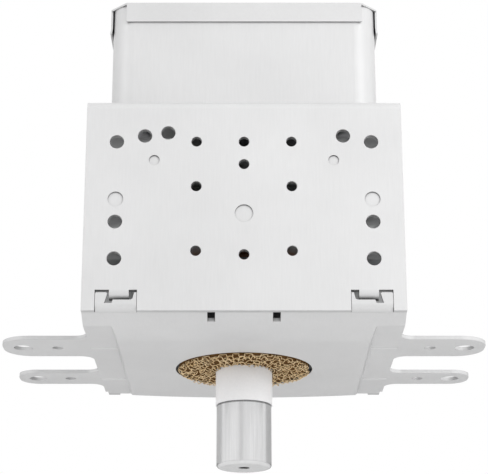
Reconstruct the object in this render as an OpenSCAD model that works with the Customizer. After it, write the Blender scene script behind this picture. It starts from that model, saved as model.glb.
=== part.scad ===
// Microwave-oven magnetron: a vacuum tube with radial vanes, held between two ring magnets
// in a steel yoke, with a filter box on the cathode side and the antenna on the other side.
// Origin on the tube axis, in the plane of the mounting ears' lower face. The antenna points down.

/* [Yoke frame] */
// Width of the yoke, from one open side to the other
yoke_w = 80; // [76:0.5:86]
// Depth over the two perforated legs
yoke_d = 90; // [88:0.5:96]
// Thickness of the yoke sheet
yoke_t = 1.6; // [1.2:0.1:2]
// Outer radius of the yoke's two bends
yoke_bend_r = 2.5; // [2.2:0.1:4]
// Diameter of the large holes near the edges of a leg
big_hole_d = 3.65; // [2.5:0.05:4]
// Diameter of the small holes in the middle of a leg
small_hole_d = 2.7; // [1.8:0.1:3.2]
// Sideways pitch of the small holes
hole_pitch = 12; // [10:0.5:14]
// Distance of the outer hole columns from the middle
edge_hole_x = 32.2; // [30:0.1:34]
// Depth of the half-sheared dimples
dimple_depth = 0.35; // [0.1:0.05:0.6]

/* [Crimped corners] */
// Distance of a crimp window's middle from the middle of the leg
crimp_x = 31.5; // [28:0.1:32.5]
// Width of a crimp window
window_w = 10.4; // [9:0.1:11.5]
// Height of a crimp window above the lower edge of the leg
window_h = 5.3; // [4.8:0.1:7]
// Width of the tongue that hangs in the window
tongue_w = 4.9; // [4:0.1:5.2]
// Clearance between the plate's tab and the window
tab_gap = 0.1; // [0.1:0.05:0.4]
// Height of the tab's middle above the lower edge of the leg
tab_h = 2.8; // [2.2:0.1:2.9]

/* [Mounting plate] */
// Thickness of the plate sheet
plate_t = 1; // [0.8:0.1:1.2]
// Height of the plate's front and rear edges above the ears
edge_rise = 2; // [1:0.1:2.4]
// Depth of the platform below the ears
dish_drop = 1.6; // [1:0.1:2.2]
// Half width of the flat platform
dish_x = 32; // [30:0.1:33]
// Width of the steep step from the platform up to the ears' level
step_run = 1; // [0.8:0.1:2]
// Distance from the axis to where the front of the platform begins to rise
dish_front = 28; // [27.5:0.1:30]
// Distance from the axis to the rear end of the flat platform
dish_rear = 33.3; // [32:0.1:34]
// Radius of the platform's bowed rear end
dish_bow_r = 157; // [140:1:400]
// Pitch of the ear holes across the plate
ear_pitch_x = 115; // [112:0.2:118]
// Pitch of the ear holes from front to rear
ear_pitch_y = 33.4; // [32:0.2:36]
// Diameter of the ear holes
ear_hole_d = 5; // [4:0.1:5.4]
// Distance from an ear hole to the tip of the ear
ear_tip = 5.2; // [4.6:0.1:8]
// Corner radius at the tips of the front ears
front_tip_r = 7; // [4:0.1:7]
// Corner radius at the tips of the rear ears
rear_tip_r = 5.2; // [4:0.1:5.4]
// Fillet radius at the ear roots
ear_root_r = 3.5; // [2:0.1:4]
// Width of the two front ears
front_ear_w = 17; // [14:0.5:19]
// Width of the two rear ears
rear_ear_w = 12.6; // [11:0.2:15]
// Distance of a locating hole from its ear hole
locator_inset = 9; // [7.5:0.1:10]
// Diameter of the small locating holes
locator_d = 2.9; // [2:0.1:3.2]
// Radius of the output hole
output_hole_r = 18.4; // [17:0.1:21]
// Distance of the front notches from the middle
notch_x = 8.1; // [5:0.1:12]
// Width of the front notches
notch_w = 1.9; // [1:0.1:3]
// Length of the front notches
notch_len = 3.6; // [2:0.1:5]

/* [Tube] */
// Outer radius of the ring magnets
magnet_r = 27; // [25:0.1:28.5]
// Thickness of one ring magnet
magnet_t = 12.5; // [11:0.1:14]
// Outer radius of the anode cylinder
anode_r = 19.5; // [18.5:0.1:21]
// Wall of the anode cylinder
anode_wall = 2; // [1.5:0.1:2.5]
// Length of the anode cylinder
anode_h = 28; // [26:0.1:30]
// Thickness of a vane
vane_t = 1.9; // [1.5:0.1:2.2]
// Height of a vane
vane_h = 9.5; // [8.5:0.1:11]
// Radius of the circle of vane tips
vane_tip_r = 4.5; // [4.3:0.1:5]
// Thickness of a pole piece
pole_t = 1.6; // [1.2:0.1:2]
// Gap between a pole piece and the vanes
pole_gap = 1.8; // [1.4:0.1:2.4]
// Mean radius of the inner straps
strap_in_r = 6.8; // [6.7:0.05:6.9]
// Mean radius of the outer straps
strap_out_r = 8.8; // [8.7:0.05:9]
// Height of a strap
strap_h = 1.5; // [1:0.1:1.8]
// Radius of the filament helix
filament_r = 1.9; // [1.8:0.05:2.2]
// Radius of the filament wire
filament_wire_r = 0.28; // [0.2:0.02:0.34]
// Turns of the filament
filament_turns = 8; // [6:1:10]
// Radius of the end hats
hat_r = 3.7; // [3.2:0.1:4.1]
// Radius of the two cathode leads
lead_r = 0.75; // [0.6:0.05:0.85]
// Distance of the side lead from the axis
side_lead_x = 2.6; // [2.5:0.05:3]
// Outer radius of the seal cups' necks
neck_r = 10.2; // [9.8:0.1:11]
// Sheet thickness of the seal cups
seal_t = 0.4; // [0.3:0.05:0.6]

/* [Output] */
// Outer radius of the output ceramic
ceramic_r = 7.6; // [7:0.1:8.5]
// Wall of the output ceramic
ceramic_wall = 2.1; // [1.6:0.1:2.6]
// Reach of the output ceramic below the ears
ceramic_reach = 11.6; // [10:0.1:15]
// Outer radius of the antenna cap
cap_r = 7.35; // [6.8:0.05:7.5]
// Length of the antenna cap
cap_h = 16.8; // [15:0.1:20]
// Wall of the antenna cap
cap_t = 0.4; // [0.3:0.05:0.7]
// Rounding at the end of the antenna cap
cap_round = 0.9; // [0.7:0.1:1.5]
// Diameter of the hole in the end of the cap
cap_hole_d = 3; // [2:0.1:4]
// How far the gasket stands out below the platform
gasket_proud = 1.4; // [0.8:0.1:2.5]

/* [Cooling fins] */
// Width of a fin along the air path
fin_w = 77; // [70:0.5:78]
// Thickness of the fin sheet
fin_t = 0.6; // [0.4:0.05:0.8]
// Pitch of the fins on the anode
fin_pitch = 4.5; // [4.2:0.1:4.8]
// Pitch of the fins at the legs
fin_spread = 7.2; // [6.6:0.1:8.4]
// Height of the lips along the legs
fin_lip = 4; // [3:0.1:5]
// Half width of the recess between a fin's two lips
fin_recess_x = 16.5; // [14:0.1:17.5]
// Height of the collars on the anode
collar_h = 3; // [2:0.1:3.4]

/* [Filter box] */
// Outer width of the box
box_w = 70.6; // [66:0.1:74]
// Outer depth of the box
box_d = 66.8; // [65:0.1:74]
// Height of the box
box_h = 32.6; // [31:0.1:36]
// Wall of the box
box_t = 0.6; // [0.5:0.05:0.8]
// Radius of the box's upright corners
box_r = 6; // [5:0.1:8]
// Thickness of the lid sheet
lid_t = 0.5; // [0.4:0.05:0.8]
// Height of the lid's front and rear flanges
lid_flange = 5.5; // [4:0.1:6]
// Height of the lid's side flanges
lid_side_flange = 7; // [5:0.1:9]
// Length of the lid's corner notches
lid_notch = 3.9; // [3:0.1:5]

/* [Filter] */
// Distance of a choke's axis from the middle
choke_x = 20; // [19:0.1:24]
// Height of the chokes' axes above the box's base
choke_rise = 16.5; // [15:0.1:18]
// Mean radius of a choke winding
choke_r = 4.1; // [3.8:0.1:4.6]
// Radius of the choke wire
choke_wire_r = 0.7; // [0.5:0.05:0.8]
// Turns of a choke, less the last half turn
choke_turns = 11; // [9:1:12]
// Pitch of the choke winding
choke_pitch = 2; // [1.9:0.05:2.1]
// Distance of a blade terminal from the middle
blade_x = 6; // [5:0.1:7]
// Width of a blade terminal
blade_w = 6.3; // [5.6:0.1:6.8]
// Thickness of a blade terminal
blade_t = 0.8; // [0.5:0.05:1]
// Reach of the capacitor's shroud beyond the box
shroud_reach = 14.6; // [12:0.1:16]

/* [Hidden] */
$fn = 64;
eps = 0.1;
far = 200;
vane_n = 10;
fin_n = 6;
sheet_grey = "#d9d9d9";
bright_steel = "#c9cacc";
copper = "#b8734a";

// Heights, from the ears up
seat_z = plate_t - dish_drop;
low_flange_z = seat_z + magnet_t;
low_pole_z = low_flange_z + seal_t;
anode_z = low_pole_z + pole_t;
mid_z = anode_z + anode_h / 2;
vane_low_z = mid_z - vane_h / 2;
yoke_in_z = 2 * mid_z - seat_z;
yoke_top = yoke_in_z + yoke_t;
box_floor_z = yoke_top + box_t;
box_top = yoke_top + box_h;

// Depths and radii that several pieces share
leg_out = yoke_d / 2;
leg_in = leg_out - yoke_t;
anode_in_r = anode_r - anode_wall;
fit_gap = 0.3;
magnet_in_r = neck_r + fit_gap;
neck_in_r = neck_r - seal_t;
pole_clear = 0.1;
pole_hole_r = vane_tip_r + pole_clear;
strap_t = 0.8;
strap_gap = 0.6;
strap_sink = 0.1;
hat_t = 1;
hat_gap = 0.25;
hat_low_z = vane_low_z - hat_gap - hat_t;
hat_high_z = 2 * mid_z - hat_low_z - hat_t;

// Output end
ceramic_inset = 1.6;
ceramic_seat_z = seat_z + ceramic_inset;
ceramic_in_r = ceramic_r - ceramic_wall;
cap_in_r = cap_r - cap_t;
cap_fit = 0.05;
tube_r = 3.2;
tube_in_r = 2.4;
tube_share = 0.55;
tube_len = cap_h * tube_share;
pinch_h = 3.5;
antenna_r = 0.9;
antenna_x = (anode_in_r + vane_tip_r) / 2;
antenna_drift = 0.5;
antenna_room = 1.3;
gasket_in_r = ceramic_r + fit_gap;
gasket_gap = 0.4;
gasket_out_r = output_hole_r - gasket_gap;
gasket_low_z = -dish_drop - gasket_proud;

// Input end
stem_rise = 2.4;
stem_z = box_floor_z + stem_rise;
stem_h = 6;
stem_r = 8.6;
stem_top = stem_z + stem_h;
choke_z = yoke_top + choke_rise;
terminal_x = 7.6;
terminal_t = 0.8;
terminal_w = 4;
terminal_lap = 2;
terminal_top = choke_z - choke_r + terminal_lap;

// Feedthrough capacitor, on the rear wall of the box
wall_y = box_d / 2;
wire_lap = 1.5;
cap_z = choke_z + choke_r - wire_lap;
body_side = 7;
body_rim = 2.3;
body_w = 2 * (blade_x + body_side);
body_h = blade_w + 2 * body_rim;
flange_lug = 9;
flange_rim = 2;
flange_w = body_w + 2 * flange_lug;
flange_h = body_h + 2 * flange_rim;
flange_t = 1;
throat_side = 4;
throat_rim = 0.6;
throat_w = 2 * (blade_x + throat_side);
throat_h = blade_w + 2 * throat_rim;
shroud_inset = 0.4;
shroud_w = body_w - 2 * shroud_inset;
shroud_h = body_h - 2 * shroud_inset;
shroud_wall = 1.4;
body_depth = 8.5;
choke_room = 1.9;
choke_len = (choke_turns + 0.5) * choke_pitch;
choke_end_y = wall_y - body_depth - choke_room;
choke_y = choke_end_y - choke_len;
flange_y = wall_y + flange_t;
shroud_end = wall_y + shroud_reach;
rivet_x = (flange_w + body_w) / 4;
rivet_r = 1.5;
rivet_head_r = 2.6;
rivet_head_t = 0.7;
box_rivet_inset = 7.5;
box_rivet_x = box_w / 2 - box_rivet_inset;
box_rivet_y = box_d / 2 - box_rivet_inset;

vane_names = [for (i = [1:vane_n]) str("vane_", i < 10 ? "0" : "", i)];
fin_names = [for (i = [1:fin_n]) str("cooling_fin_", i)];

// Small helpers

module both_sides() {
    children();
    mirror([1, 0, 0]) children();
}

module front_and_rear() {
    children();
    rotate([0, 0, 180]) children();
}

module above_mid() {
    translate([0, 0, 2 * mid_z]) mirror([0, 0, 1]) children();
}

// A profile in depth and height, drawn along the width
module along_x(width) {
    translate([-width / 2, 0, 0]) rotate([90, 0, 90]) linear_extrude(width) children();
}

// A profile in width and height, drawn along the depth from y0 to y1
module along_y(y0, y1) {
    translate([0, y1, 0]) rotate([90, 0, 0]) linear_extrude(y1 - y0) children();
}

module rounded_rect(x0, x1, y0, y1, r) {
    translate([x0 + r, y0]) square([x1 - x0 - 2 * r, y1 - y0]);
    translate([x0, y0 + r]) square([x1 - x0, y1 - y0 - 2 * r]);
    for (x = [x0 + r, x1 - r], y = [y0 + r, y1 - r]) translate([x, y]) circle(r);
}

module stadium(width, height) {
    straight = (width - height) / 2;
    translate([-straight, -height / 2]) square([2 * straight, height]);
    for (x = [-straight, straight]) translate([x, 0]) circle(height / 2);
}

module ring(outer, inner, height) {
    difference() {
        cylinder(r = outer, h = height);
        translate([0, 0, -eps]) cylinder(r = inner, h = height + 2 * eps);
    }
}

// Swept round wire: normals are carried along the path so that the wire doesn't twist
function unit(v) = v / norm(v);
function tangent(p, i) = unit(p[min(i + 1, len(p) - 1)] - p[max(i - 1, 0)]);
function carried(n, t) = unit(n - (n * t) * t);
function normals(p, first, i = 0) =
    i == len(p) ? [] :
    let (n = carried(first, tangent(p, i))) concat([n], normals(p, n, i + 1));

module wire(p, r, sides, first) {
    n = normals(p, first);
    last = len(p) - 1;
    points = [
        for (i = [0:last], k = [0:sides - 1])
            let (b = cross(tangent(p, i), n[i]), a = 360 * k / sides)
                p[i] + r * (cos(a) * n[i] + sin(a) * b)
    ];
    walls = [
        for (i = [0:last - 1], k = [0:sides - 1], half = [0, 1])
            let (a = i * sides + k, b = i * sides + (k + 1) % sides)
                half == 0 ? [a, a + sides, b] : [b, a + sides, b + sides]
    ];
    first_end = [for (k = [0:sides - 1]) k];
    last_end = [for (k = [sides - 1:-1:0]) last * sides + k];
    polyhedron(points, concat([first_end], walls, [last_end]));
}

// Yoke frame

// Holes of a leg, as distances from its middle and below the top of the yoke
big_holes = [
    [-edge_hole_x, 11.55], [-25.1, 9.95], [-19.2, 9.1], [25.1, 9.95], [edge_hole_x, 11.55],
    [-edge_hole_x, 32.95], [edge_hole_x, 32.95], [-edge_hole_x, 42.6], [edge_hole_x, 42.6]
];
small_holes = [
    [-hole_pitch, 11.5], [0, 11.5], [hole_pitch, 11.5], [0, 17.6],
    [-hole_pitch, 23.55], [hole_pitch, 23.55], [-hole_pitch, 40.6], [hole_pitch, 40.6], [0, 41.55]
];
// Dimples, with their diameters
dimples = [
    [0, 30.7, 4.6], [-edge_hole_x, 26.95, 3.9], [edge_hole_x, 26.95, 3.9],
    [-22.65, 16.5, 2.7], [22.65, 16.5, 2.7]
];

module yoke_section(d, top, r) {
    translate([-d / 2, edge_rise]) square([d, top - r - edge_rise]);
    translate([-d / 2 + r, top - 2 * r]) square([d - 2 * r, 2 * r]);
    for (y = [-d / 2 + r, d / 2 - r]) translate([y, top - r]) circle(r);
}

module leg_hole(x, drop, d, depth) {
    translate([x, -leg_out - eps, yoke_top - drop]) rotate([-90, 0, 0]) cylinder(d = d, h = depth + eps);
}

tongue_shift = 0.75;
tongue_x = crimp_x - tongue_shift;
tongue_drop = 2.2;
window_top = edge_rise + window_h;

// Tongue curled inwards from the top of a crimp window
module tongue() {
    curl_y = -leg_out + tongue_drop;
    translate([tongue_x, 0, 0]) along_x(tongue_w) intersection() {
        difference() {
            translate([curl_y, window_top]) circle(tongue_drop);
            translate([curl_y, window_top]) circle(tongue_drop - yoke_t);
        }
        translate([-leg_out - eps, window_top - tongue_drop - eps])
            square([tongue_drop + eps, tongue_drop + 2 * eps]);
    }
}

module yoke_frame() {
    color(sheet_grey) {
        difference() {
            along_x(yoke_w) difference() {
                yoke_section(yoke_d, yoke_top, yoke_bend_r);
                translate([0, -eps]) yoke_section(2 * leg_in, yoke_in_z + eps, yoke_bend_r - yoke_t);
            }
            front_and_rear() {
                for (h = big_holes) leg_hole(h[0], h[1], big_hole_d, yoke_t + eps);
                for (h = small_holes) leg_hole(h[0], h[1], small_hole_d, yoke_t + eps);
                for (h = dimples) leg_hole(h[0], h[1], h[2], dimple_depth);
                both_sides()
                    translate([crimp_x - window_w / 2, -leg_out - eps, edge_rise - eps])
                        cube([window_w, yoke_t + 2 * eps, window_h + eps]);
            }
            translate([0, 0, yoke_in_z - eps]) cylinder(r = neck_r + 2 * fit_gap, h = yoke_t + 2 * eps);
            rivet_holes(yoke_in_z - eps, yoke_t + 2 * eps);
        }
        front_and_rear() both_sides() tongue();
    }
}

// Mounting plate

ear_reach = ear_pitch_x / 2 + ear_tip;

module ear_outline(width, r) {
    y = width / 2;
    tip = ear_reach - yoke_w / 2;
    translate([-eps, -y]) square([tip - r + eps, width]);
    translate([0, -y + r]) square([tip, width - 2 * r]);
    for (s = [-1, 1]) {
        translate([tip - r, s * (y - r)]) circle(r);
        difference() {
            translate([-eps, s * (y + ear_root_r / 2) - ear_root_r / 2])
                square([ear_root_r + eps, ear_root_r]);
            translate([ear_root_r, s * (y + ear_root_r)]) circle(ear_root_r);
        }
    }
}

module ears() {
    linear_extrude(plate_t) for (side = [0, 1]) mirror([side, 0]) {
        translate([yoke_w / 2, -ear_pitch_y / 2]) ear_outline(front_ear_w, front_tip_r);
        translate([yoke_w / 2, ear_pitch_y / 2]) ear_outline(rear_ear_w, rear_tip_r);
    }
}

rim_w = 0.5;
dish_depth = dish_drop + edge_rise;
dish_room = dish_depth + 2 * plate_t;
front_run = leg_in - rim_w - dish_front;
front_rise_r = (front_run * front_run + dish_depth * dish_depth) / (2 * dish_depth);
rear_run = leg_in - rim_w - dish_rear;

// The drawn dish as a solid, from the platform's lower face up: its front rises in an arc,
// its sides step up to the ears' level, and its rear end is bowed
module dish() {
    translate([0, 0, -dish_drop]) intersection() {
        along_x(2 * yoke_w) intersection() {
            union() {
                translate([-dish_front, front_rise_r]) circle(front_rise_r);
                translate([-dish_front, 0]) square([dish_front + yoke_d, dish_room]);
            }
            translate([-leg_in, 0]) square([2 * leg_in, dish_room]);
        }
        along_y(-yoke_d, yoke_d) polygon([
            [-dish_x, 0], [dish_x, 0], [dish_x + step_run, dish_drop], [yoke_w, dish_drop],
            [yoke_w, dish_room], [-yoke_w, dish_room], [-yoke_w, dish_drop], [-dish_x - step_run, dish_drop]
        ]);
        translate([0, dish_rear - dish_bow_r, 0])
            cylinder(r1 = dish_bow_r, r2 = dish_bow_r + rear_run * dish_room / dish_depth, h = dish_room);
    }
}

// The plate before its dish is hollowed: a flat sheet at its edges, with the dish below it
module plate_blank() {
    low = dish_drop + eps;
    translate([-yoke_w / 2, -leg_in, edge_rise]) cube([yoke_w, 2 * leg_in, plate_t]);
    intersection() {
        dish();
        translate([-yoke_w / 2, -leg_in, -low]) cube([yoke_w, 2 * leg_in, low + edge_rise + plate_t]);
    }
}

tab_w = window_w - 2 * tab_gap;
tab_bend_in = 0.8;
tab_bend = plate_t + tab_bend_in;
tab_shy = 0.65;
tab_top = window_h - tab_shy;
tab_nick = 0.3;
slit_w = 1.8;
prong_w = 2.3;
prong_lean = 0.7;
finger_w = 0.6;

// Tab that folds up into a crimp window: a leaning prong, a slit, a low middle and a finger
module crimp_tab() {
    inner = crimp_x - tab_w / 2;
    outer = crimp_x + tab_w / 2;
    slit_low = tab_bend + tab_nick / 2;
    slit_in = outer - prong_w - slit_w;
    prong_tip = outer - prong_w - prong_lean;
    translate([0, 0, edge_rise]) {
        translate([0, -leg_out + plate_t, 0]) rotate([90, 0, 0]) linear_extrude(plate_t) polygon([
            [inner, tab_bend], [inner, tab_top], [inner + finger_w, tab_top],
            [inner + 1.6 * finger_w, tab_h + tab_nick], [inner + 2.4 * finger_w, tab_h],
            [slit_in - tab_nick, tab_h], [slit_in, slit_low], [outer - prong_w, slit_low],
            [prong_tip, tab_top - tab_nick], [prong_tip + tab_nick, tab_top],
            [outer - tab_nick, tab_top], [outer, tab_top - tab_nick], [outer, tab_bend]
        ]);
        translate([crimp_x, 0, 0]) along_x(tab_w) {
            intersection() {
                difference() {
                    translate([-leg_out + tab_bend, tab_bend]) circle(tab_bend);
                    translate([-leg_out + tab_bend, tab_bend]) circle(tab_bend - plate_t);
                }
                translate([-leg_out - eps, -eps]) square([tab_bend + eps, tab_bend + eps]);
            }
            translate([-leg_out + tab_bend, 0]) square([2 * tab_bend, plate_t]);
        }
    }
}

bead_w = 1.2;
bead_proud = 0.35;
bead_r = (bead_w * bead_w / 4 + bead_proud * bead_proud) / (2 * bead_proud);
bead_len = yoke_w / 2 - dish_x - step_run / 2;

// Stiffening bead from an ear's root to the step of the platform
module ear_bead(y) {
    translate([yoke_w / 2 - bead_len, y, 0]) intersection() {
        translate([0, 0, bead_r - bead_proud]) rotate([0, 90, 0]) cylinder(r = bead_r, h = bead_len);
        translate([0, -bead_w, -bead_proud - eps]) cube([bead_len, 2 * bead_w, bead_proud + plate_t / 2]);
    }
}

module mounting_plate() {
    color(sheet_grey) difference() {
        union() {
            plate_blank();
            ears();
            front_and_rear() both_sides() crimp_tab();
            both_sides() for (y = [-ear_pitch_y / 2, ear_pitch_y / 2]) ear_bead(y);
        }
        translate([0, 0, plate_t]) dish();
        translate([0, 0, -dish_drop - eps]) cylinder(r = output_hole_r, h = dish_drop + 2 * plate_t);
        for (x = [-0.5, 0.5], y = [-0.5, 0.5]) translate([0, y * ear_pitch_y, -eps]) {
            translate([x * ear_pitch_x, 0, 0]) cylinder(d = ear_hole_d, h = plate_t + 2 * eps);
            translate([x * (ear_pitch_x - 2 * locator_inset), 0, 0])
                cylinder(d = locator_d, h = plate_t + 2 * eps);
        }
        both_sides() translate([notch_x - notch_w / 2, -leg_out, -dish_drop - eps])
            cube([notch_w, yoke_t + notch_len, dish_room + edge_rise]);
    }
}

// RF gasket: a flat ring of knitted wire round the output ceramic

gasket_round = 1.1;
gasket_rows = [24, 36, 48];
gasket_gap_r = 0.55;
gasket_gap_depth = 0.9;

module rf_gasket() {
    height = seat_z - gasket_low_z;
    span = gasket_out_r - gasket_in_r;
    color("#c8a864") translate([0, 0, gasket_low_z]) difference() {
        rotate_extrude() {
            translate([gasket_in_r, 0]) square([span - gasket_round, height]);
            translate([gasket_in_r, gasket_round]) square([span, height - gasket_round]);
            translate([gasket_out_r - gasket_round, gasket_round]) circle(gasket_round);
        }
        for (row = [0:2], i = [0:gasket_rows[row] - 1])
            rotate([0, 0, 360 * i / gasket_rows[row]])
                translate([gasket_in_r + span * (row + 0.7) / 3.2, 0, -eps])
                    cylinder(r = gasket_gap_r, h = gasket_gap_depth + eps);
    }
}

// Ring magnets

magnet_edge = 0.6;

module magnet() {
    r = magnet_r;
    e = magnet_edge;
    rotate_extrude() polygon([
        [magnet_in_r, 0], [r - e, 0], [r, e], [r, magnet_t - e], [r - e, magnet_t], [magnet_in_r, magnet_t]
    ]);
}

module lower_magnet() {
    color("#4b4b4d") translate([0, 0, seat_z]) magnet();
}

module upper_magnet() {
    color("#4b4b4d") above_mid() translate([0, 0, seat_z]) magnet();
}

// Anode: cylinder, vanes and straps

module anode_cylinder() {
    color(copper) translate([0, 0, anode_z]) ring(anode_r, anode_in_r, anode_h);
}

// Slot for one strap in the upper edge of a vane: a seat, or a wider slot that clears the strap
module strap_slot(mean_r, seated) {
    room = seated ? 0 : strap_gap;
    reach = strap_t / 2 + room;
    translate([0, 0, vane_h / 2 - strap_sink - strap_h - room])
        ring(mean_r + reach, mean_r - reach, strap_h + strap_sink + room + eps);
}

module vane(i) {
    even = i % 2 == 0;
    color(copper) rotate([0, 0, 360 * i / vane_n]) translate([0, 0, mid_z]) intersection() {
        difference() {
            translate([vane_tip_r, -vane_t / 2, -vane_h / 2])
                cube([anode_r - vane_tip_r, vane_t, vane_h]);
            strap_slot(strap_in_r, even);
            strap_slot(strap_out_r, !even);
            mirror([0, 0, 1]) {
                strap_slot(strap_in_r, !even);
                strap_slot(strap_out_r, even);
            }
        }
        cylinder(r = anode_in_r, h = 2 * vane_h, center = true);
    }
}

module strap(mean_r) {
    color("#c9a27e") translate([0, 0, vane_low_z + strap_sink])
        ring(mean_r + strap_t / 2, mean_r - strap_t / 2, strap_h);
}

module lower_inner_strap() {
    strap(strap_in_r);
}

module lower_outer_strap() {
    strap(strap_out_r);
}

module upper_inner_strap() {
    above_mid() strap(strap_in_r);
}

module upper_outer_strap() {
    above_mid() strap(strap_out_r);
}

// Pole pieces: iron cups that carry the field to the ends of the vanes

pole_tip_r = 8.2;
pole_ledge = 3.3;
pole_root_r = anode_in_r - pole_ledge;
pole_taper = 1;
pole_face_z = vane_low_z - pole_gap;

module pole_piece() {
    color("#8f9092") rotate_extrude() polygon([
        [anode_r, low_pole_z], [anode_r, anode_z], [pole_root_r, anode_z], [pole_tip_r, pole_face_z],
        [pole_hole_r, pole_face_z], [pole_hole_r, pole_face_z - pole_t],
        [pole_tip_r - pole_t / 2, pole_face_z - pole_t], [pole_root_r - pole_taper, low_pole_z]
    ]);
}

module lower_pole_piece() {
    difference() {
        pole_piece();
        translate([antenna_x - antenna_drift, 0, low_pole_z - eps])
            cylinder(r = antenna_r + antenna_room, h = pole_face_z - low_pole_z + 2 * eps);
    }
}

module upper_pole_piece() {
    above_mid() pole_piece();
}

// Cathode: filament between two end hats, on two leads

hat_boss_gap = 0.1;
hat_boss_r = filament_r - filament_wire_r - hat_boss_gap;
hat_boss_h = 0.8;
lead_proud = 0.6;
lead_room = 0.4;
lead_top = stem_top + terminal_t + lead_proud;
filament_low = hat_low_z + hat_t + filament_wire_r;
filament_high = hat_high_z - filament_wire_r;
filament_steps = 12;

module filament() {
    steps = filament_turns * filament_steps;
    path = [
        for (i = [0:steps])
            let (a = 360 * i / filament_steps)
                [filament_r * cos(a), filament_r * sin(a),
                 filament_low + (filament_high - filament_low) * i / steps]
    ];
    color("#6d6e70") wire(path, filament_wire_r, 6, [1, 0, 0]);
}

module end_hat(hole_r) {
    color("#9a9b9d") difference() {
        union() {
            cylinder(r = hat_r, h = hat_t);
            cylinder(r = hat_boss_r, h = hat_t + hat_boss_h);
        }
        translate([0, 0, -eps]) cylinder(r = hole_r, h = hat_t + hat_boss_h + 2 * eps);
    }
}

module lower_end_hat() {
    translate([0, 0, hat_low_z]) end_hat(lead_r);
}

module upper_end_hat() {
    above_mid() translate([0, 0, hat_low_z]) end_hat(lead_r + lead_room);
}

module centre_lead() {
    color("#a5a6a8") translate([0, 0, hat_low_z]) cylinder(r = lead_r, h = lead_top - hat_low_z);
}

module side_lead() {
    start = hat_high_z + hat_t;
    color("#a5a6a8") translate([side_lead_x, 0, start]) cylinder(r = lead_r, h = lead_top - start);
}

// Input seal cup, stem ceramic and terminals

flange_r = anode_r - fit_gap;
stem_ring_gap = 2.5;
stem_ring_r = side_lead_x + lead_r + stem_ring_gap;

module input_seal_cup() {
    low = 2 * mid_z - low_pole_z;
    color(bright_steel) rotate_extrude() polygon([
        [neck_in_r, low], [flange_r, low], [flange_r, low + seal_t], [neck_r, low + seal_t],
        [neck_r, stem_z], [stem_ring_r, stem_z], [stem_ring_r, stem_z - seal_t], [neck_in_r, stem_z - seal_t]
    ]);
}

module stem_ceramic() {
    color("#ece6ea") translate([0, 0, stem_z]) difference() {
        cylinder(r = stem_r, h = stem_h);
        for (x = [0, side_lead_x]) translate([x, 0, -eps]) cylinder(r = lead_r, h = stem_h + 2 * eps);
    }
}

// Angle strip from a lead's top to the choke wire, on the +X side
module stem_terminal(start_x, hole_x) {
    color("#c4c5c7") difference() {
        union() {
            translate([start_x, -terminal_w / 2, stem_top])
                cube([terminal_x - start_x, terminal_w, terminal_t]);
            translate([terminal_x - terminal_t, -terminal_w / 2, stem_top])
                cube([terminal_t, terminal_w, terminal_top - stem_top]);
        }
        translate([hole_x, 0, stem_top - eps]) cylinder(r = lead_r, h = terminal_t + 2 * eps);
    }
}

terminal_split = side_lead_x / 2;

module left_stem_terminal() {
    mirror([1, 0, 0]) stem_terminal(fit_gap - terminal_split, 0);
}

module right_stem_terminal() {
    stem_terminal(terminal_split + fit_gap, side_lead_x);
}

// Output: seal cup, ceramic, exhaust tube, antenna lead and cap

module output_seal_cup() {
    seat = ceramic_seat_z;
    color(bright_steel) rotate_extrude() polygon([
        [neck_in_r, low_pole_z], [flange_r, low_pole_z], [flange_r, low_flange_z], [neck_r, low_flange_z],
        [neck_r, seat], [ceramic_in_r, seat], [ceramic_in_r, seat + seal_t], [neck_in_r, seat + seal_t]
    ]);
}

module output_ceramic() {
    color("#ece8ee") translate([0, 0, -ceramic_reach])
        ring(ceramic_r, ceramic_in_r, ceramic_reach + ceramic_seat_z);
}

exhaust_disc_t = 0.8;

// Exhaust tube, pinched flat at its end
module exhaust_tube() {
    end = tube_len + exhaust_disc_t;
    color(copper) translate([0, 0, -ceramic_reach]) mirror([0, 0, 1]) {
        difference() {
            union() {
                cylinder(r = cap_in_r - cap_fit, h = exhaust_disc_t);
                cylinder(r = tube_r, h = end);
            }
            translate([0, 0, -eps]) cylinder(r = tube_in_r, h = tube_len + eps);
        }
        translate([-tube_r, -exhaust_disc_t, end])
            cube([2 * tube_r, 2 * exhaust_disc_t, pinch_h]);
    }
}

antenna_steps = 10;
antenna_straight = 3.4;
antenna_tail = 1;

module antenna_lead() {
    bend_z = vane_low_z - antenna_straight;
    low_z = ceramic_seat_z + antenna_tail;
    path = concat(
        [[antenna_x, 0, vane_low_z]],
        [
            for (i = [0:antenna_steps])
                let (t = i / antenna_steps)
                    [antenna_x * (1 + cos(180 * t)) / 2, 0, bend_z + (low_z - bend_z) * t]
        ],
        [[0, 0, antenna_tail - ceramic_reach - tube_len]]
    );
    color(copper) wire(path, antenna_r, 8, [0, 1, 0]);
}

module cap_section(r, h, round) {
    square([r - round, h]);
    translate([0, round]) square([r, h - round]);
    translate([r - round, round]) circle(round);
}

module antenna_cap() {
    color(bright_steel) translate([0, 0, -ceramic_reach - cap_h]) difference() {
        rotate_extrude() difference() {
            cap_section(cap_r, cap_h, cap_round);
            translate([0, cap_t]) cap_section(cap_in_r, cap_h, cap_round - cap_t);
        }
        translate([0, 0, -eps]) cylinder(d = cap_hole_d, h = cap_t + 2 * eps);
    }
}

// Cooling fins: close together on the anode, fanned out towards the legs

fin_gap = 3.6;
fin_bend_in = 1;
fin_bend_run = 8;
fin_recess = 4;

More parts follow.
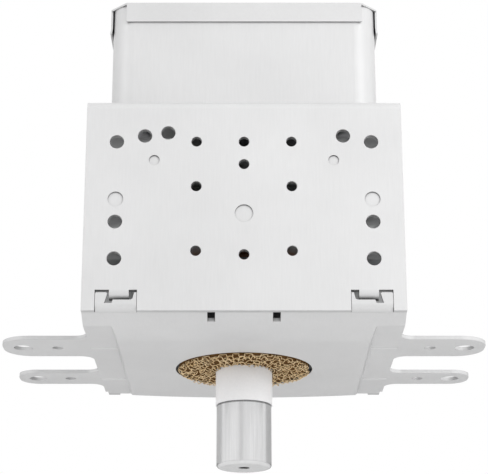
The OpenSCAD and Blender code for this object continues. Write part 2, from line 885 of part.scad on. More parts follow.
module cooling_fin(i) {
    step = i - (fin_n - 1) / 2;
    rise = step * (fin_spread - fin_pitch);
    bend_in = magnet_r - fin_bend_in;
    bend_out = bend_in + fin_bend_run;
    edge = leg_in - fin_gap;
    color("#c7c8ca") translate([0, 0, mid_z + step * fin_pitch - fin_t / 2]) difference() {
        union() {
            along_x(fin_w) polygon([
                [-edge, rise], [-bend_out, rise], [-bend_in, 0], [bend_in, 0], [bend_out, rise], [edge, rise],
                [edge, rise + fin_lip], [edge - fin_t, rise + fin_lip], [edge - fin_t, rise + fin_t],
                [bend_out, rise + fin_t], [bend_in, fin_t], [-bend_in, fin_t], [-bend_out, rise + fin_t],
                [fin_t - edge, rise + fin_t], [fin_t - edge, rise + fin_lip], [-edge, rise + fin_lip]
            ]);
            cylinder(r = anode_r + fin_t, h = collar_h);
        }
        translate([0, 0, -eps]) cylinder(r = anode_r, h = collar_h + 2 * eps);
        front_and_rear() translate([-fin_recess_x, edge - fin_recess, -far / 2])
            cube([2 * fin_recess_x, 2 * fin_recess, far]);
    }
}

// Filter box, lid and rivets

module rivet_holes(z, height) {
    for (x = [-box_rivet_x, box_rivet_x], y = [-box_rivet_y, box_rivet_y])
        translate([x, y, z]) cylinder(r = rivet_r, h = height);
}

module box_plan(inset) {
    x = box_w / 2 - inset;
    y = box_d / 2 - inset;
    rounded_rect(-x, x, -y, y, box_r - inset);
}

module filter_box() {
    color(sheet_grey) difference() {
        translate([0, 0, yoke_top]) linear_extrude(box_h) box_plan(0);
        translate([0, 0, box_floor_z]) linear_extrude(box_h) box_plan(box_t);
        translate([0, 0, yoke_top - eps]) cylinder(r = neck_r + fit_gap, h = box_t + 2 * eps);
        rivet_holes(yoke_top - eps, box_t + 2 * eps);
        translate([0, 0, cap_z])
            along_y(wall_y - 2 * box_t, wall_y + eps) stadium(body_w + 2 * eps, body_h + 2 * eps);
        for (x = [-rivet_x, rivet_x])
            translate([x, wall_y - 2 * box_t, cap_z]) rotate([-90, 0, 0])
                cylinder(r = rivet_r, h = 3 * box_t);
    }
}

lid_gap = 0.1;
lid_flare = 0.15;
lid_flare_h = 1.5;

module filter_box_lid() {
    x = box_w / 2 + lid_gap;
    y = box_d / 2 + lid_gap;
    edge_x = x + lid_t;
    edge_y = y + lid_t;
    cut_x = x - lid_notch;
    cut_y = y - lid_notch;
    low = box_top - lid_side_flange + lid_t;
    high = box_top + lid_t / 2;
    color(sheet_grey) {
        translate([0, 0, box_top]) linear_extrude(lid_t) polygon([
            [cut_x, -edge_y], [edge_x, -cut_y], [edge_x, cut_y], [cut_x, edge_y],
            [-cut_x, edge_y], [-edge_x, cut_y], [-edge_x, -cut_y], [-cut_x, -edge_y]
        ]);
        front_and_rear() translate([-cut_x, -edge_y, box_top + lid_t - lid_flange])
            cube([2 * cut_x, lid_t, lid_flange - lid_t / 2]);
        both_sides() along_y(-cut_y, cut_y) polygon([
            [x, high], [edge_x, high], [edge_x, low + lid_flare_h], [edge_x + lid_flare, low],
            [x + lid_flare, low], [x, low + lid_flare_h]
        ]);
    }
}

// Rivet along +Z, holding a stack of the given height
module rivet(grip) {
    translate([0, 0, -rivet_head_t]) cylinder(r = rivet_head_r, h = rivet_head_t);
    cylinder(r = rivet_r, h = grip);
    translate([0, 0, grip]) cylinder(r = rivet_head_r, h = rivet_head_t);
}

module box_rivets() {
    color(bright_steel) for (x = [-box_rivet_x, box_rivet_x], y = [-box_rivet_y, box_rivet_y])
        translate([x, y, yoke_in_z]) rivet(yoke_t + box_t);
}

// Chokes

choke_core_gap = 0.2;
choke_core_r = choke_r - choke_wire_r - choke_core_gap;
choke_steps = 14;

module choke_core() {
    color("#3a3a3c") translate([choke_x, choke_y - choke_wire_r, choke_z]) rotate([-90, 0, 0])
        cylinder(r = choke_core_r, h = choke_len + 2 * choke_wire_r);
}

module left_choke_core() {
    mirror([1, 0, 0]) choke_core();
}

module right_choke_core() {
    choke_core();
}

// Winding round a lengthwise axis, with straight ends to the stem terminal and to the blade
module choke_coil() {
    steps = (choke_turns + 0.5) * choke_steps;
    path = concat(
        [[terminal_x, 0, choke_z - choke_r]],
        [
            for (i = [0:steps])
                let (a = 360 * i / choke_steps - 90)
                    [choke_x + choke_r * cos(a), choke_y + choke_len * i / steps, choke_z + choke_r * sin(a)]
        ],
        [[blade_x + blade_t / 2, choke_end_y, choke_z + choke_r]]
    );
    color(copper) wire(path, choke_wire_r, 8, [0, 1, 0]);
}

module left_choke_coil() {
    mirror([1, 0, 0]) choke_coil();
}

module right_choke_coil() {
    choke_coil();
}

// Feedthrough capacitor

blade_tail = 2;
blade_sink = 1.5;
blade_hole_d = 1.8;
blade_hole_in = 3;
blade_in_y = choke_end_y - blade_tail;
blade_end_y = shroud_end - blade_sink;

module blade() {
    difference() {
        translate([blade_x - blade_t / 2, blade_in_y, cap_z - blade_w / 2])
            cube([blade_t, blade_end_y - blade_in_y, blade_w]);
        translate([blade_x, blade_end_y - blade_hole_in, cap_z]) rotate([0, 90, 0])
            cylinder(d = blade_hole_d, h = 2 * blade_t, center = true);
    }
}

// Room for a blade in what it passes through
module blade_slot() {
    translate([blade_x - blade_t / 2, 0, cap_z - blade_w / 2]) cube([blade_t, far, blade_w]);
}

module left_blade_terminal() {
    color("#c9b27a") mirror([1, 0, 0]) blade();
}

module right_blade_terminal() {
    color("#c9b27a") blade();
}

module capacitor_body() {
    color("#d8c9a8") difference() {
        translate([0, 0, cap_z]) along_y(wall_y - body_depth, wall_y) stadium(body_w, body_h);
        both_sides() blade_slot();
    }
}

module capacitor_flange() {
    color(bright_steel) difference() {
        translate([0, 0, cap_z]) along_y(wall_y, flange_y) difference() {
            stadium(flange_w, flange_h);
            stadium(throat_w, throat_h);
        }
        for (x = [-rivet_x, rivet_x])
            translate([x, wall_y - eps, cap_z]) rotate([-90, 0, 0])
                cylinder(r = rivet_r, h = flange_t + 2 * eps);
    }
}

module capacitor_shroud() {
    color("#2f3032") difference() {
        translate([0, 0, cap_z]) {
            along_y(wall_y, flange_y) stadium(throat_w, throat_h);
            along_y(flange_y, shroud_end) stadium(shroud_w, shroud_h);
        }
        translate([0, 0, cap_z]) along_y(flange_y + shroud_wall, shroud_end + eps)
            stadium(shroud_w - 2 * shroud_wall, shroud_h - 2 * shroud_wall);
        both_sides() blade_slot();
    }
}

module capacitor_rivets() {
    color(bright_steel) for (x = [-rivet_x, rivet_x])
        translate([x, wall_y - box_t, cap_z]) rotate([-90, 0, 0]) rivet(box_t + flange_t);
}

yoke_frame();
mounting_plate();
rf_gasket();
lower_magnet();
upper_magnet();
anode_cylinder();
for (i = [0:vane_n - 1])
    vane(i);
lower_inner_strap();
lower_outer_strap();
upper_inner_strap();
upper_outer_strap();
lower_pole_piece();
upper_pole_piece();
filament();
lower_end_hat();
upper_end_hat();
centre_lead();
side_lead();
input_seal_cup();
stem_ceramic();
left_stem_terminal();
right_stem_terminal();
output_seal_cup();
output_ceramic();
exhaust_tube();
antenna_lead();
antenna_cap();
for (i = [0:fin_n - 1])
    cooling_fin(i);
filter_box();
filter_box_lid();
box_rivets();
left_choke_core();
right_choke_core();
left_choke_coil();
right_choke_coil();
capacitor_flange();
capacitor_body();
capacitor_shroud();
left_blade_terminal();
right_blade_terminal();
capacitor_rivets();
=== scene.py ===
import math
import random

import bmesh
import bpy
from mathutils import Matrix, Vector


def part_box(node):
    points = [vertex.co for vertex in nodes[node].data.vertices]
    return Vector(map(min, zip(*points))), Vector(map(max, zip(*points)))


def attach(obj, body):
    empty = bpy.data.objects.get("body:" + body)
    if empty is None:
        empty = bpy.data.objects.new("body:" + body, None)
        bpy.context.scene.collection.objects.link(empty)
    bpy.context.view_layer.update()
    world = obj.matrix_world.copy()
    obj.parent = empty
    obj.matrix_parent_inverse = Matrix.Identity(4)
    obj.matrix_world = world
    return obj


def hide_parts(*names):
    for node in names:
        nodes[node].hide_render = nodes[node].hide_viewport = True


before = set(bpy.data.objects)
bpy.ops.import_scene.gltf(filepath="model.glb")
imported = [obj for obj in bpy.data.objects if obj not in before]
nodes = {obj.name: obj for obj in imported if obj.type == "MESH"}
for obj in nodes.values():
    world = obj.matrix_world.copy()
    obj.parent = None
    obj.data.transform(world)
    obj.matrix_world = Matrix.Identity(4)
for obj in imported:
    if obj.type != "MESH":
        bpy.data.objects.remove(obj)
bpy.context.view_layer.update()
scene = bpy.context.scene
scene.view_settings.view_transform = "Standard"
print("frame loaded:", len(nodes), "nodes")


def addObject(name, data):
    added = bpy.data.objects.new(name, data)
    scene.collection.objects.link(added)
    return added


# camera, at the photograph's viewing angle, looking up at the object
shot = {"place": (0.0, -0.4293, -0.1091), "pitch": 18.7, "lens": 120.5, "sensor": 36}
cameraData = bpy.data.cameras.new("camera")
cameraData.sensor_width = shot["sensor"]
cameraData.lens = shot["lens"]
camera = addObject("camera", cameraData)
camera.location = shot["place"]
camera.rotation_euler = (math.radians(90 + shot["pitch"]), 0, 0)
scene.camera = camera
print("camera set")


# values that all the finishes share
shading = {
    "noiseRange": (0.3, 0.7),  # the part of a noise's values that a finish spreads out
    "cloudDetail": 4,
    "cloudRoughness": 0.6,
    "grainDetail": 3,
    "grainRoughness": 0.55,
    "coatRoughness": 0.2,
    "edgeSamples": 4,
    "creviceShadeSamples": 8,
    "creviceShadeRange": (0.25, 0.65),  # how open a place is, from darkest to clear
    "jointRange": (0.5, 1.0),  # share of the joint line's width over which it fades
    "downShadeRange": (-1.0, -0.9),  # height of a normal that points straight down, and nearly so
}


def grey(level):
    return (level, level, level)


# node helpers that every finish uses
def newMaterial(name):
    material = bpy.data.materials.new(name)
    material.use_nodes = True
    tree = material.node_tree
    return material, tree, tree.nodes["Principled BSDF"]


def objectCoords(tree, scale):
    coords = tree.nodes.new("ShaderNodeTexCoord")
    mapping = tree.nodes.new("ShaderNodeMapping")
    mapping.inputs["Scale"].default_value = scale
    tree.links.new(coords.outputs["Object"], mapping.inputs["Vector"])
    return mapping.outputs["Vector"]


def noise(tree, scale, detail, roughness):
    node = tree.nodes.new("ShaderNodeTexNoise")
    node.inputs["Scale"].default_value = 1.0
    node.inputs["Detail"].default_value = detail
    node.inputs["Roughness"].default_value = roughness
    tree.links.new(objectCoords(tree, scale), node.inputs["Vector"])
    return node.outputs["Fac"]


def ramp(tree, value, stops):
    node = tree.nodes.new("ShaderNodeValToRGB")
    band = node.color_ramp
    while len(band.elements) < len(stops):
        band.elements.new(0.5)
    for element, (place, colour) in zip(band.elements, stops):
        element.position = place
        element.color = (*colour, 1)
    tree.links.new(value, node.inputs["Fac"])
    return node.outputs["Color"]


def span(tree, value, low, high):
    node = tree.nodes.new("ShaderNodeMapRange")
    node.inputs["From Min"].default_value = shading["noiseRange"][0]
    node.inputs["From Max"].default_value = shading["noiseRange"][1]
    node.inputs["To Min"].default_value = low
    node.inputs["To Max"].default_value = high
    tree.links.new(value, node.inputs["Value"])
    return node.outputs["Result"]


def multiply(tree, first, second):
    node = tree.nodes.new("ShaderNodeMix")
    node.data_type = "RGBA"
    node.blend_type = "MULTIPLY"
    node.inputs["Factor"].default_value = 1.0
    tree.links.new(first, node.inputs["A"])
    tree.links.new(second, node.inputs["B"])
    return node.outputs["Result"]


# painted shade where surfaces meet and in recesses; a lift leans the search upwards, to paint shade under an
# overhang as if the light came from above
def paintedCreviceShade(tree, reach, dark, lift):
    geometry = tree.nodes.new("ShaderNodeNewGeometry")
    raised = tree.nodes.new("ShaderNodeVectorMath")
    raised.inputs[1].default_value = (0, 0, lift)
    tree.links.new(geometry.outputs["Normal"], raised.inputs[0])
    outward = tree.nodes.new("ShaderNodeVectorMath")
    outward.operation = "NORMALIZE"
    tree.links.new(raised.outputs["Vector"], outward.inputs[0])
    node = tree.nodes.new("ShaderNodeAmbientOcclusion")
    node.samples = shading["creviceShadeSamples"]
    node.inputs["Distance"].default_value = reach
    tree.links.new(outward.outputs["Vector"], node.inputs["Normal"])
    closed, clear = shading["creviceShadeRange"]
    return ramp(tree, node.outputs["AO"], [(closed, grey(dark)), (clear, grey(1))])


# dark brazed line round the top of a round piece
def jointLine(tree, top, width, dark):
    coords = tree.nodes.new("ShaderNodeTexCoord")
    parts = tree.nodes.new("ShaderNodeSeparateXYZ")
    tree.links.new(coords.outputs["Object"], parts.inputs["Vector"])
    drop = tree.nodes.new("ShaderNodeMapRange")
    drop.inputs["From Min"].default_value = top
    drop.inputs["From Max"].default_value = top - width
    tree.links.new(parts.outputs["Z"], drop.inputs["Value"])
    start, end = shading["jointRange"]
    return ramp(tree, drop.outputs["Result"], [(start, grey(dark)), (end, grey(1))])


# painted shade on faces that point straight down, such as the sheet's lower cut edge
def downFacingShade(tree, dark):
    geometry = tree.nodes.new("ShaderNodeNewGeometry")
    parts = tree.nodes.new("ShaderNodeSeparateXYZ")
    tree.links.new(geometry.outputs["True Normal"], parts.inputs["Vector"])
    upward = tree.nodes.new("ShaderNodeMapRange")
    upward.inputs["From Min"].default_value = shading["downShadeRange"][0]
    upward.inputs["From Max"].default_value = shading["downShadeRange"][1]
    tree.links.new(parts.outputs["Z"], upward.inputs["Value"])
    return ramp(tree, upward.outputs["Result"], [(0.0, grey(dark)), (1.0, grey(1))])


# a finish: cloudy tone, fine grain in tone, roughness and relief, and softened edges
def buildFinish(name, look):
    material, tree, shader = newMaterial(name)
    shader.inputs["Metallic"].default_value = look["metal"]
    if "shine" in look:
        shader.inputs["Specular IOR Level"].default_value = look["shine"]
    if "coat" in look:
        shader.inputs["Coat Weight"].default_value = look["coat"]
        shader.inputs["Coat Roughness"].default_value = shading["coatRoughness"]
    low, high = shading["noiseRange"]
    cloud = noise(tree, look["cloud"], shading["cloudDetail"], shading["cloudRoughness"])
    tone = ramp(tree, cloud, [(low, look["dark"]), (high, look["pale"])])
    grain = noise(tree, look["grain"], shading["grainDetail"], shading["grainRoughness"])
    streaks = ramp(tree, grain, [(low, grey(1 - look["grainTone"])), (high, grey(1))])
    colour = multiply(tree, tone, streaks)
    if "joint" in look:
        colour = multiply(tree, colour, jointLine(tree, *look["joint"]))
    if "downShade" in look:
        colour = multiply(tree, colour, downFacingShade(tree, look["downShade"]))
    if "creviceShade" in look:
        colour = multiply(tree, colour, paintedCreviceShade(tree, *look["creviceShade"]))
    tree.links.new(colour, shader.inputs["Base Color"])
    tree.links.new(span(tree, grain, *look["rough"]), shader.inputs["Roughness"])
    relief = tree.nodes.new("ShaderNodeBump")
    relief.inputs["Strength"].default_value = look["relief"]
    relief.inputs["Distance"].default_value = look["depth"]
    tree.links.new(grain, relief.inputs["Height"])
    if "edge" in look:
        soft = tree.nodes.new("ShaderNodeBevel")
        soft.samples = shading["edgeSamples"]
        soft.inputs["Radius"].default_value = look["edge"]
        tree.links.new(soft.outputs["Normal"], relief.inputs["Normal"])
    tree.links.new(relief.outputs["Normal"], shader.inputs["Normal"])
    return material


# noise scale along each axis, for a grain drawn out along one axis or even along all
upright = (2400, 2400, 160)
frontToRear = (2400, 160, 2400)
sideToSide = (160, 2400, 2400)
even = (1600, 1600, 1600)

# cloud and grain are noise scales, dark and pale the ends of the tone, rough those of the roughness,
# relief and depth the bump, edge the radius of a softened edge, and on the nodes that take the finish;
# the crevice entry is reach, tone and lift of the painted shade in crevices, joint is top, width and tone,
# and the cut edge entry is the tone of the painted shade on faces that point down
zincSheet = {
    "metal": 0.45, "grainTone": 0.04, "rough": (0.42, 0.52), "relief": 0.03, "depth": 0.0002, "edge": 0.00015,
}
frontTone = {"cloud": (35, 35, 35), "dark": (0.64, 0.64, 0.642), "pale": (0.68, 0.68, 0.682)}
finishes = {
    "zincUpright": {
        # painted shade on the yoke's downward faces, in its crevices and under its overhangs
        **zincSheet, **frontTone, "grain": upright, "creviceShade": (0.005, 0.1, 0.6), "downShade": 0.78,
        "on": ["yoke_frame"],
    },
    "zincBox": {
        # painted shade where the box meets the parts around it
        **zincSheet, **frontTone, "grain": upright, "creviceShade": (0.0015, 0.5, 0.0),
        "on": ["filter_box"],
    },
    "zincFlatShaded": {
        # a slightly darker copy of the upright sheets' tone: painted shade on the plate and the lid, with
        # painted shade in their crevices
        **zincSheet, "cloud": (40, 40, 40), "dark": (0.615, 0.615, 0.617), "pale": (0.655, 0.655, 0.657),
        "grain": frontToRear, "creviceShade": (0.005, 0.1, 0.0),
        "on": ["mounting_plate", "filter_box_lid"],
    },
    "capSteel": {
        "metal": 1.0, "cloud": (420, 420, 30), "dark": (0.69, 0.69, 0.695), "pale": (0.78, 0.78, 0.785),
        "grain": (3000, 3000, 40), "grainTone": 0.08, "rough": (0.18, 0.28), "relief": 0.06, "depth": 0.0001,
        "edge": 0.0003, "joint": (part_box("antenna_cap")[1].z, 0.0006, 0.35),
        "on": ["antenna_cap"],
    },
    "sealSteel": {
        "metal": 1.0, "cloud": (90, 90, 90), "dark": (0.62, 0.62, 0.63), "pale": (0.74, 0.74, 0.75),
        "grain": (2000, 2000, 200), "grainTone": 0.1, "rough": (0.28, 0.42), "relief": 0.06, "depth": 0.0001,
        "on": ["input_seal_cup", "output_seal_cup", "capacitor_flange"],
    },
    "rivetSteel": {
        "metal": 1.0, "cloud": (300, 300, 300), "dark": (0.60, 0.60, 0.61), "pale": (0.73, 0.73, 0.74),
        "grain": even, "grainTone": 0.1, "rough": (0.3, 0.45), "relief": 0.1, "depth": 0.0001,
        "edge": 0.0004,
        "on": ["box_rivets", "capacitor_rivets"],
    },
    "outputCeramic": {
        "metal": 0.0, "cloud": (70, 70, 70), "dark": (0.88, 0.88, 0.89), "pale": (0.91, 0.91, 0.92),
        "grain": even, "grainTone": 0.04, "rough": (0.38, 0.55), "relief": 0.06, "depth": 0.0001,
        "coat": 0.15,
        "on": ["output_ceramic", "stem_ceramic"],
    },
    "finAluminium": {
        "metal": 0.9, "cloud": (30, 60, 30), "dark": (0.60, 0.605, 0.61), "pale": (0.70, 0.705, 0.71),
        "grain": sideToSide, "grainTone": 0.08, "rough": (0.3, 0.42), "relief": 0.06, "depth": 0.0001,
        "on": [name for name in nodes if name.startswith("cooling_fin")],
    },
    "magnetFerrite": {
        "metal": 0.0, "cloud": (150, 150, 150), "dark": (0.045, 0.045, 0.048), "pale": (0.085, 0.085, 0.088),
        "grain": (900, 900, 900), "grainTone": 0.3, "rough": (0.55, 0.75), "relief": 0.25, "depth": 0.0003,
        "on": ["lower_magnet", "upper_magnet", "left_choke_core", "right_choke_core"],
    },
    "anodeCopper": {
        "metal": 1.0, "cloud": (120, 120, 120), "dark": (0.30, 0.15, 0.09), "pale": (0.46, 0.26, 0.17),
        "grain": upright, "grainTone": 0.12, "rough": (0.28, 0.45), "relief": 0.08, "depth": 0.0001,
        "on": ["anode_cylinder", "antenna_lead"] + [name for name in nodes if name.startswith("vane_")],
    },
    "tubeCopper": {
        "metal": 0.8, "cloud": (200, 200, 200), "dark": (0.05, 0.03, 0.022), "pale": (0.10, 0.06, 0.042),
        "grain": even, "grainTone": 0.15, "rough": (0.5, 0.65), "relief": 0.1, "depth": 0.0001,
        "on": ["exhaust_tube"],
    },
    "strapMetal": {
        "metal": 1.0, "cloud": (250, 250, 250), "dark": (0.60, 0.48, 0.38), "pale": (0.76, 0.62, 0.50),
        "grain": even, "grainTone": 0.1, "rough": (0.25, 0.4), "relief": 0.08, "depth": 0.0001,
        "on": [name for name in nodes if name.endswith("_strap")],
    },
    "poleIron": {
        "metal": 1.0, "cloud": (110, 110, 110), "dark": (0.42, 0.42, 0.43), "pale": (0.56, 0.56, 0.57),
        "grain": (1800, 1800, 300), "grainTone": 0.12, "rough": (0.35, 0.5), "relief": 0.08, "depth": 0.0001,
        "on": ["lower_pole_piece", "upper_pole_piece"],
    },
    "cathodeMetal": {
        "metal": 1.0, "cloud": (500, 500, 500), "dark": (0.30, 0.30, 0.31), "pale": (0.46, 0.46, 0.47),
        "grain": (2500, 2500, 250), "grainTone": 0.15, "rough": (0.4, 0.6), "relief": 0.1, "depth": 0.0001,
        "on": ["filament", "lower_end_hat", "upper_end_hat", "centre_lead", "side_lead",
               "left_stem_terminal", "right_stem_terminal"],
    },
    "windingEnamel": {
        "metal": 0.6, "cloud": (300, 300, 300), "dark": (0.40, 0.16, 0.06), "pale": (0.58, 0.27, 0.11),
        "grain": even, "grainTone": 0.12, "rough": (0.22, 0.35), "relief": 0.05, "depth": 0.0001,
        "coat": 0.5,
        "on": ["left_choke_coil", "right_choke_coil"],
    },
    "bladeTin": {
        "metal": 1.0, "cloud": (200, 200, 200), "dark": (0.62, 0.56, 0.42), "pale": (0.76, 0.70, 0.54),
        "grain": frontToRear, "grainTone": 0.1, "rough": (0.25, 0.4), "relief": 0.05, "depth": 0.0001,
        "edge": 0.0002,
        "on": ["left_blade_terminal", "right_blade_terminal"],
    },
    "capacitorResin": {
        "metal": 0.0, "cloud": (200, 200, 200), "dark": (0.55, 0.45, 0.28), "pale": (0.68, 0.58, 0.40),
        "grain": even, "grainTone": 0.1, "rough": (0.35, 0.55), "relief": 0.1, "depth": 0.0001,
        "on": ["capacitor_body"],
    },
    "shroudPlastic": {
        "metal": 0.0, "cloud": (90, 90, 90), "dark": (0.022, 0.022, 0.024), "pale": (0.034, 0.034, 0.036),
        "grain": (2600, 2600, 2600), "grainTone": 0.2, "rough": (0.42, 0.58), "relief": 0.2, "depth": 0.0001,
        "edge": 0.0004,
        "on": ["capacitor_shroud"],
    },
}

for finishName, look in finishes.items():
    material = buildFinish(finishName, look)
    slots = [slot for nodeName in look["on"] for slot in nodes[nodeName].material_slots]
    for slot in slots:
        slot.material = material
    print("finish", finishName, "on", len(look["on"]), "nodes,", len(slots), "slots")


# knitted gasket: courses of uneven wire loops over a dark core of painted shade, along its underside and
# round its rim
knit = {
    "wire": 0.000105,
    "course": 0.0017,  # distance from one course of loops to the next
    "loop": 0.0034,  # width of one loop
    "height": 0.0003,  # half height of a loop
    "reach": 0.0009,  # how far a loop reaches into its neighbours
    "lean": 0.6,  # how far a loop narrows at its neck
    "wander": 0.6,  # unevenness from loop to loop
    "bunch": 5.0,  # how far that unevenness moves a loop along its course
    "sag": 3.0,  # how far it sinks a loop, in half heights
    "offset": 6.0,  # most that a course is turned against the others, in radians
    "pointsPerLoop": 14,
    "wireDetail": 1,
    "rim": 0.0013,  # radius of the rounded rim
    "seed": 11,
}


# radius and height of a place on the gasket, by its run from the inner edge and its depth in the surface
def gasketPlace(run, depth, inner, outer, low):
    flat = outer - knit["rim"] - inner
    if run < flat:
        return inner + max(run, 0), low + depth
    angle = min((run - flat) / knit["rim"], math.pi / 2)
    arm = knit["rim"] - depth
    return outer - knit["rim"] + arm * math.sin(angle), low + knit["rim"] - arm * math.cos(angle)


# one course as a closed row of points, with each loop shifted, stretched and sunk by chance
def courseOfLoops(run, inner, outer, low, start, chance):
    loops = round(2 * math.pi * gasketPlace(run, 0, inner, outer, low)[0] / knit["loop"])
    steps = knit["pointsPerLoop"]
    whims = [[knit["wander"] * chance.uniform(-1, 1) for _ in range(3)] for _ in range(loops)]
    points = []
    for index in range(loops * steps):
        phase = 2 * math.pi * index / steps
        share = index % steps / steps
        here, after = whims[index // steps], whims[(index // steps + 1) % loops]
        shift, stretch, sink = (first + (last - first) * share for first, last in zip(here, after))
        turn = (phase + knit["lean"] * math.sin(2 * phase) + knit["bunch"] * shift) / loops + start
        depth = knit["height"] * (1 + math.cos(2 * phase) + knit["sag"] * abs(sink))
        across = run + knit["reach"] * (math.cos(phase) + stretch)
        radius, height = gasketPlace(across, depth, inner, outer, low)
        points.append((radius * math.cos(turn), radius * math.sin(turn), height, 1))
    return points


def buildKnit():
    chance = random.Random(knit["seed"])
    lowest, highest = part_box("rf_gasket")
    inner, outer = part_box("output_ceramic")[1].x + knit["wire"], highest.x - knit["wire"]
    low = lowest.z + knit["wire"]
    whole = outer - inner + knit["rim"] * (math.pi / 2 - 1)
    courses = round((whole - knit["reach"]) / knit["course"])
    curve = bpy.data.curves.new("gasketKnit", "CURVE")
    curve.dimensions = "3D"
    curve.bevel_depth = knit["wire"]
    curve.bevel_resolution = knit["wireDetail"]
    for row in range(courses + 1):
        run = knit["reach"] / 2 + (whole - knit["reach"]) * row / courses
        points = courseOfLoops(run, inner, outer, low, chance.uniform(0, knit["offset"]), chance)
        spline = curve.splines.new("POLY")
        spline.points.add(len(points) - 1)
        spline.use_cyclic_u = True
        for point, place in zip(spline.points, points):
            point.co = place
    draft = addObject("gasketKnitDraft", curve)
    mesh = bpy.data.meshes.new_from_object(draft.evaluated_get(bpy.context.evaluated_depsgraph_get()))
    mesh.name = "gasketKnit"
    bpy.data.objects.remove(draft)
    for polygon in mesh.polygons:
        polygon.use_smooth = True
    return addObject("gasketKnit", mesh)


# dark core seen between the loops: painted shade standing in for the knit's deeper layers
core = {
    "innerGap": 0.0003,
    "outerGap": 0.0005,
    "sink": 0.0013,  # depth of its lower face in the knit
    "innerDrop": 0.0005,  # how much lower it is at the ceramic
    "innerRun": 0.002,  # width of the slope down to the ceramic
    "outerRise": 0.0006,
    "outerRun": 0.001,
    "steps": 96,
    "mergeGap": 1e-6,
}


def buildCore():
    lowest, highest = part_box("rf_gasket")
    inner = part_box("output_ceramic")[1].x + core["innerGap"]
    outer = highest.x - core["outerGap"]
    low, high = lowest.z + core["sink"], highest.z
    corners = [
        (inner, high),
        (inner, low - core["innerDrop"]),
        (inner + core["innerRun"], low),
        (outer - core["outerRun"], low),
        (outer, low + core["outerRise"]),
        (outer, high),
    ]
    ring = bmesh.new()
    profile = [ring.verts.new((x, 0, z)) for x, z in corners]
    edges = [ring.edges.new(pair) for pair in zip(profile, profile[1:] + profile[:1])]
    bmesh.ops.spin(
        ring, geom=profile + edges, cent=(0, 0, 0), axis=(0, 0, 1),
        angle=2 * math.pi, steps=core["steps"], use_merge=True,
    )
    bmesh.ops.remove_doubles(ring, verts=ring.verts, dist=core["mergeGap"])
    bmesh.ops.recalc_face_normals(ring, faces=ring.faces)
    mesh = bpy.data.meshes.new("gasketShadeCore")
    ring.to_mesh(mesh)
    ring.free()
    return addObject("gasketShadeCore", mesh)


gasketLooks = {
    "gasketKnit": {
        "metal": 0.5, "cloud": (260, 260, 260), "dark": (0.80, 0.56, 0.28), "pale": (0.98, 0.78, 0.49),
        "grain": (2200, 2200, 2200), "grainTone": 0.15, "rough": (0.28, 0.42),
        # painted shade between the wires and where they meet the core
        "relief": 0.05, "depth": 0.0001, "creviceShade": (0.0012, 0.3, 0.0),
    },
    # the core's dark tone is painted shade between the loops
    "gasketShadeCore": {
        "metal": 0.0, "shine": 0.0, "cloud": (500, 500, 500),
        "dark": (0.10, 0.05, 0.018), "pale": (0.20, 0.11, 0.045),
        "grain": (1500, 1500, 1500), "grainTone": 0.4, "rough": (0.5, 0.7), "relief": 0.6, "depth": 0.0004,
    },
}
gasketKnit = buildKnit()
gasketShadeCore = buildCore()
for piece in (gasketKnit, gasketShadeCore):
    piece.data.materials.append(buildFinish(piece.name, gasketLooks[piece.name]))
    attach(piece, "root")
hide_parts("rf_gasket")
print("gasket knitted:", len(gasketKnit.data.polygons), "faces")


# studio: a pale floor, a white surround, soft lamps and cards; only reflections show the cards
studio = {
    "floorZ": -0.24,
    "floorSize": 6.0,
    "floorTone": 0.81,
    "panelRoughness": 0.8,
    "fillStrength": 0.94,  # the white surround's light on the object
    "target": (0, 0, 0.03),
    "lamps": [
        {"name": "keyLamp", "place": (0.28, -0.32, 0.12), "size": 0.2, "power": 0.95, "mirrored": False},
        {"name": "stripLamp", "place": (0.42, -0.64, 0.46), "size": 0.32, "power": 0.55, "mirrored": True},
        {"name": "sideLamp", "place": (-0.7, -0.6, 0.5), "size": 0.4, "power": 0.45, "mirrored": True},
        {"name": "leftLamp", "place": (-0.6, 0.06, 0.04), "size": 0.3, "power": 0.7, "mirrored": False},
        {"name": "rightLamp", "place": (0.6, 0.16, 0.04), "size": 0.3, "power": 0.2, "mirrored": False},
        {"name": "backLamp", "place": (0.3, 1.1, 1.0), "size": 0.8, "power": 1.5, "mirrored": True},
    ],
    "cards": [
        {"name": "leftCard", "place": (-0.45, 0.9, 0.1), "size": (1.6, 0.5), "turn": 90, "tone": 0.6},
        {"name": "rightCard", "place": (0.45, 0.9, 0.1), "size": (1.6, 0.5), "turn": 90, "tone": 0.56},
        {"name": "frontCard", "place": (-0.15, -0.76, 0.0), "size": (0.22, 0.6), "turn": -11, "tone": 0.75},
        {"name": "backCard", "place": (0.0, 0.17, -0.03), "size": (0.4, 0.05), "turn": 0, "tone": 0.25},
    ],
}


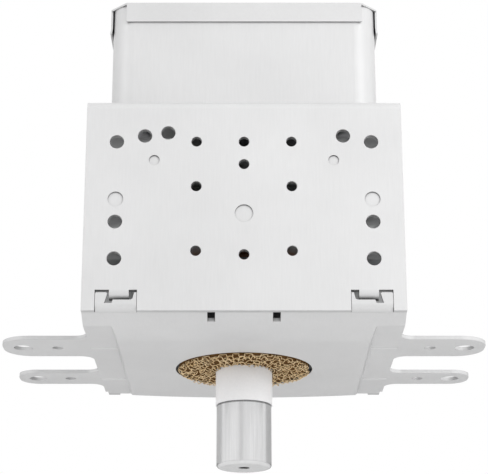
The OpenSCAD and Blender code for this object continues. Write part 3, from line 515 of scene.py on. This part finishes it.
def buildWorld():
    world = bpy.data.worlds.new("surround")
    scene.world = world
    world.use_nodes = True
    tree = world.node_tree
    background = tree.nodes["Background"]
    background.inputs["Color"].default_value = (1, 1, 1, 1)
    path = tree.nodes.new("ShaderNodeLightPath")
    seen = path.outputs["Is Camera Ray"]
    for ray in ("Is Glossy Ray", "Is Transmission Ray"):
        either = tree.nodes.new("ShaderNodeMath")
        either.operation = "MAXIMUM"
        tree.links.new(seen, either.inputs[0])
        tree.links.new(path.outputs[ray], either.inputs[1])
        seen = either.outputs[0]
    level = tree.nodes.new("ShaderNodeMapRange")  # white where it is seen, a softer fill elsewhere
    level.inputs["To Min"].default_value = studio["fillStrength"]
    level.inputs["To Max"].default_value = 1.0
    tree.links.new(seen, level.inputs["Value"])
    tree.links.new(level.outputs["Result"], background.inputs["Strength"])


def buildLamps():
    for row in studio["lamps"]:
        data = bpy.data.lights.new(row["name"], "AREA")
        data.shape = "SQUARE"
        data.size = row["size"]
        data.energy = row["power"]
        lamp = addObject(row["name"], data)
        lamp.location = row["place"]
        aim = Vector(studio["target"]) - lamp.location
        lamp.rotation_euler = aim.to_track_quat("-Z", "Y").to_euler()
        lamp.visible_glossy = row["mirrored"]


# lets a view from below look through the panel
def clearBackside(tree, shader):
    geometry = tree.nodes.new("ShaderNodeNewGeometry")
    clear = tree.nodes.new("ShaderNodeBsdfTransparent")
    either = tree.nodes.new("ShaderNodeMixShader")
    tree.links.new(geometry.outputs["Backfacing"], either.inputs["Fac"])
    tree.links.new(shader.outputs["BSDF"], either.inputs[1])
    tree.links.new(clear.outputs["BSDF"], either.inputs[2])
    tree.links.new(either.outputs["Shader"], tree.nodes["Material Output"].inputs["Surface"])


def buildPanel(name, tone, width, height, oneSided=False):
    sheet = bmesh.new()
    bmesh.ops.create_grid(sheet, x_segments=1, y_segments=1, size=0.5)
    bmesh.ops.scale(sheet, verts=sheet.verts, vec=(width, height, 1))
    mesh = bpy.data.meshes.new(name)
    sheet.to_mesh(mesh)
    sheet.free()
    material, tree, shader = newMaterial(name)
    shader.inputs["Base Color"].default_value = (*grey(tone), 1)
    shader.inputs["Roughness"].default_value = studio["panelRoughness"]
    if oneSided:
        clearBackside(tree, shader)
    mesh.materials.append(material)
    panel = addObject(name, mesh)
    return panel


def buildStage():
    width = studio["floorSize"]
    floor = buildPanel("floor", studio["floorTone"], width, width, oneSided=True)
    floor.location.z = studio["floorZ"]
    for row in studio["cards"]:
        card = buildPanel(row["name"], row["tone"], *row["size"])
        card.location = row["place"]
        card.rotation_euler = (math.radians(90), 0, math.radians(row["turn"]))
        card.visible_camera = False
        card.visible_diffuse = False
        card.visible_shadow = False


buildWorld()
buildLamps()
buildStage()
print("studio lit")
